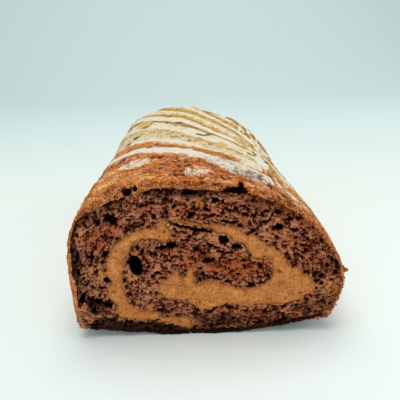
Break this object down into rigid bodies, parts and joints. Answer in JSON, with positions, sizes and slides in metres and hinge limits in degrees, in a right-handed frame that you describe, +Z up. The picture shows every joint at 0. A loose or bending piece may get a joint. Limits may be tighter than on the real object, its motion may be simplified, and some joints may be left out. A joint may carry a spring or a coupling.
{
  "type": "swiss roll cake",
  "caption": "Cut length of chocolate swiss roll with a spiral of brown cream at its ends and slanting sugar-dusted stripes over the crust.",
  "frame": {"origin": "centre of the roll's box at the height of the surface it rests on", "axes": "+Z up, +Y along the roll from the cut end shown to the far end, +X to the right as seen facing the cut end"},
  "size_m": [0.0987, 0.155, 0.0608],
  "materials": {
    "sponge": "open dark brown crumb with a dry golden-brown crust, dusted white",
    "cream": "smooth soft cream with a faint sheen"
  },
  "bodies": {
    "root": {"sponge": "sponge", "cream": "cream"}
  },
  "joints": []
}
